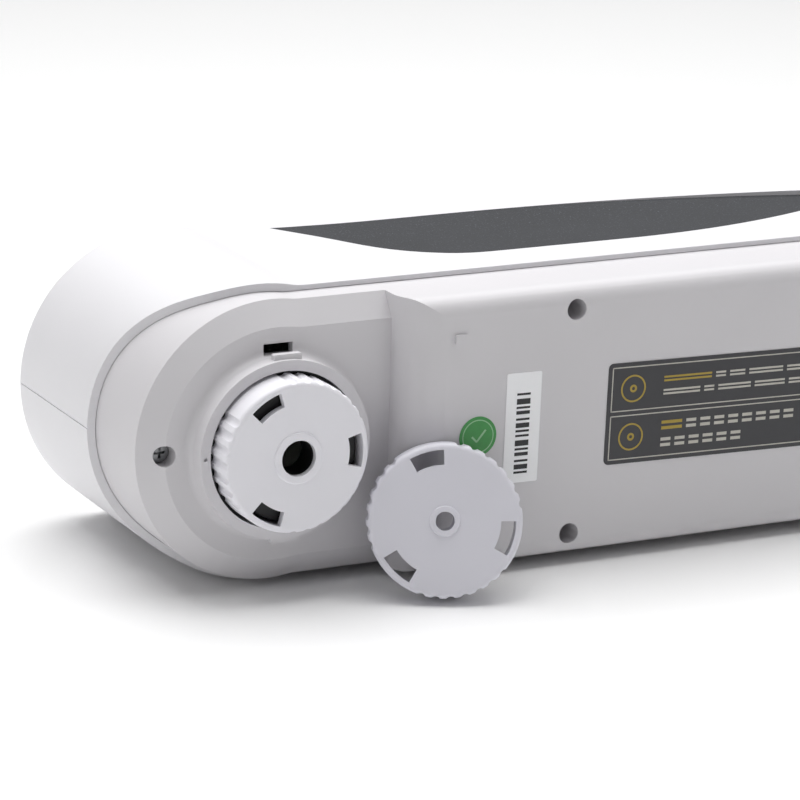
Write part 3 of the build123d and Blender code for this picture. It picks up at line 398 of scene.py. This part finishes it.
def print_key_legends():
    """One plain sign on each key: bars, rings and triangles."""
    # each bar: x, z, width and height in mm; each ring: radius, line width and number of sides
    bars = {
        "menu_key": ((0, -1.1, 3.0, 0.5), (0, 0, 3.0, 0.5), (0, 1.1, 3.0, 0.5)),
        "back_key": ((0.4, 0, 2.6, 0.5), (-0.9, 0.55, 0.5, 1.3), (-0.9, -0.55, 0.5, 1.3)),
        "test_key": ((0, 0, 0.9, 0.9),),
    }
    rings = {
        "enter_key": (2.2, 0.45, 48), "test_key": (2.6, 0.45, 48),
        "up_key": (1.7, 0.4, 3), "down_key": (1.7, 0.4, 3),
    }
    for node in ("enter_key", "up_key", "down_key", "menu_key", "back_key", "test_key"):
        low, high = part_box(node)
        x, z = (low.x + high.x) / 2, (low.z + high.z) / 2
        rise = surface_height(node, x + MM, z) - surface_height(node, x - MM, z)
        slope = Matrix.Rotation(rise / (2 * MM), 4, "Z")
        top = Matrix.Translation((x, surface_height(node, x, z), z)) @ slope
        bm = bmesh.new()
        for bar in bars.get(node, ()):
            add_bar(bm, top, *bar)
        if node in rings:
            outer, line, sides = rings[node]
            turn = Matrix.Rotation(pi / 2 if node == "down_key" else -pi / 2, 4, "Y")
            add_loop(bm, top @ turn, 0, 0, outer, line, sides)
        keep_piece(f"{node}_legend", bm, key_ink, node)


def print_screen():
    """What the unlit display shows under its window: a frame, a row of swatches and blank word bars."""
    screen_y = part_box("display_module")[1].y
    low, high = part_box("display_window")
    middle = (low + high) / 2
    place = Matrix.Translation((middle.x, screen_y, middle.z)) @ Matrix.Rotation(pi / 2, 4, "Y")
    glass, ink = bmesh.new(), bmesh.new()
    add_bar(glass, place, 0, 0, 29.0, 17.0)
    front = place @ Matrix.Translation((0, 2 * INK * MM, 0))
    add_frame(ink, front, 0, 0, 28.0, 16.0, 0.25)
    add_bar(ink, front, 0, 6.6, 27.0, 1.6)
    for swatch in range(5):
        add_frame(ink, front, -10.4 + 5.2 * swatch, 2.6, 4.2, 3.6, 0.3)
    for row, widths in enumerate(((9.0, 5.0, 7.0), (6.0, 8.0), (4.0, 4.0, 9.0))):
        left = -12.5
        for width in widths:
            add_bar(ink, front, left + width / 2, -1.4 - 2.1 * row, width, 0.9)
            left += width + SCREEN_WORD_GAP
    keep_piece("display_screen_glass", glass, screen_glass, BODY)
    keep_piece("display_screen_segments", ink, screen_ink, BODY)


def paint_aperture_shade():
    """A black sleeve inside the mounted cap's aperture tube: painted shade that darkens the hole."""
    low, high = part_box("aperture_cap_8mm")
    start, end = low.y + 1.3 * MM, high.y - 1.2 * MM
    bm = bmesh.new()
    stand = Matrix.Translation((0, (start + end) / 2, 0)) @ Matrix.Rotation(pi / 2, 4, "X")
    radius = PAINTED_SHADE_RADIUS * MM
    bmesh.ops.create_cone(
        bm, cap_ends=False, segments=96, radius1=radius, radius2=radius, depth=end - start, matrix=stand,
    )
    bmesh.ops.solidify(bm, geom=bm.faces[:], thickness=PAINTED_SHADE_WALL * MM)
    keep_piece("aperture_painted_shade_lining", bm, black_abs, "aperture_cap_8mm")


print_rating_label()
print_serial_label()
print_inspection_dot()
print_key_legends()
print_screen()
paint_aperture_shade()


# ---- floor, light and camera ----
FLOOR_Z = cad_box[0].z


def add_floor():
    """A plain pale sheet that runs well past the view."""
    bm = bmesh.new()
    level = Matrix.Translation((0, 0, FLOOR_Z))
    bmesh.ops.create_grid(bm, x_segments=1, y_segments=1, size=6.0, matrix=level)
    mesh = bpy.data.meshes.new("floor")
    bm.to_mesh(mesh)
    bm.free()
    floor = bpy.data.objects.new("floor", mesh)
    bpy.context.scene.collection.objects.link(floor)
    material, tree = new_material("white acrylic sheet")
    place = add_node(tree, "ShaderNodeTexCoord").outputs["Object"]
    drift = add_node(tree, "ShaderNodeTexNoise", {"Vector": place, "Scale": 2.0, "Detail": 1.0})
    colour = add_node(
        tree, "ShaderNodeMix",
        {"Factor": drift.outputs["Fac"], "A": linear("#ffffff"), "B": linear("#fdfdfd")}, data_type="RGBA",
    )
    finish_material(tree, colour.outputs["Result"], Roughness=0.35, IOR=1.45)
    mesh.materials.append(material)


def add_light(name, place, aim, size, power):
    """A soft box: a rectangular area light that faces its aim."""
    lamp = bpy.data.lights.new(name, "AREA")
    lamp.shape = "RECTANGLE"
    lamp.size, lamp.size_y = size
    lamp.energy = power
    thing = bpy.data.objects.new(name, lamp)
    thing.location = place
    thing.rotation_mode = "QUATERNION"
    thing.rotation_quaternion = (Vector(aim) - Vector(place)).to_track_quat("-Z", "Y")
    bpy.context.scene.collection.objects.link(thing)


add_floor()
world = bpy.data.worlds.new("studio")
world.use_nodes = True
world.node_tree.nodes["Background"].inputs["Color"].default_value = (1, 1, 1, 1)
world.node_tree.nodes["Background"].inputs["Strength"].default_value = 0.13
bpy.context.scene.world = world
add_light("top soft box", (0.05, 0.15, 0.9), (0.05, 0.02, 0), (1.2, 0.9), 11.7)
add_light("back soft box", (0.6, 1.4, 1.3), (0.5, 0.9, 0), (2.4, 1.4), 13.5)
add_light("left soft box", (-0.9, -0.3, 0.4), (0, 0.03, 0), (0.8, 0.8), 0.6)
add_light("nose soft box", (-1.0, 0.3, 0.3), (0, 0.03, 0), (0.8, 0.6), 0.9)
add_light("right soft box", (0.9, -0.6, 0.6), (0.05, 0, 0), (0.8, 0.8), 1.8)

CAMERA_PLACE = (-0.36917, -0.78045, 0.25904)
CAMERA_TURN, CAMERA_RISE, CAMERA_ROLL = radians(-26.94), radians(15.97), radians(1.527)
CAMERA_LENS, CAMERA_SENSOR = 186.56, 36.0


def add_camera():
    """A long lens low in front of the port, a little to the nose's side."""
    reach = cos(CAMERA_RISE)
    back = Vector((sin(CAMERA_TURN) * reach, -cos(CAMERA_TURN) * reach, sin(CAMERA_RISE)))
    level = Vector((cos(CAMERA_TURN), sin(CAMERA_TURN), 0))
    right = level * cos(CAMERA_ROLL) + back.cross(level) * sin(CAMERA_ROLL)
    up = back.cross(right)
    data = bpy.data.cameras.new("camera")
    data.lens, data.sensor_width = CAMERA_LENS, CAMERA_SENSOR
    data.clip_start, data.clip_end = 0.05, 50.0
    camera = bpy.data.objects.new("camera", data)
    camera.matrix_world = Matrix.Translation(CAMERA_PLACE) @ Matrix((right, up, back)).transposed().to_4x4()
    bpy.context.scene.collection.objects.link(camera)
    bpy.context.scene.camera = camera


add_camera()
bpy.context.scene.view_settings.view_transform = "Standard"
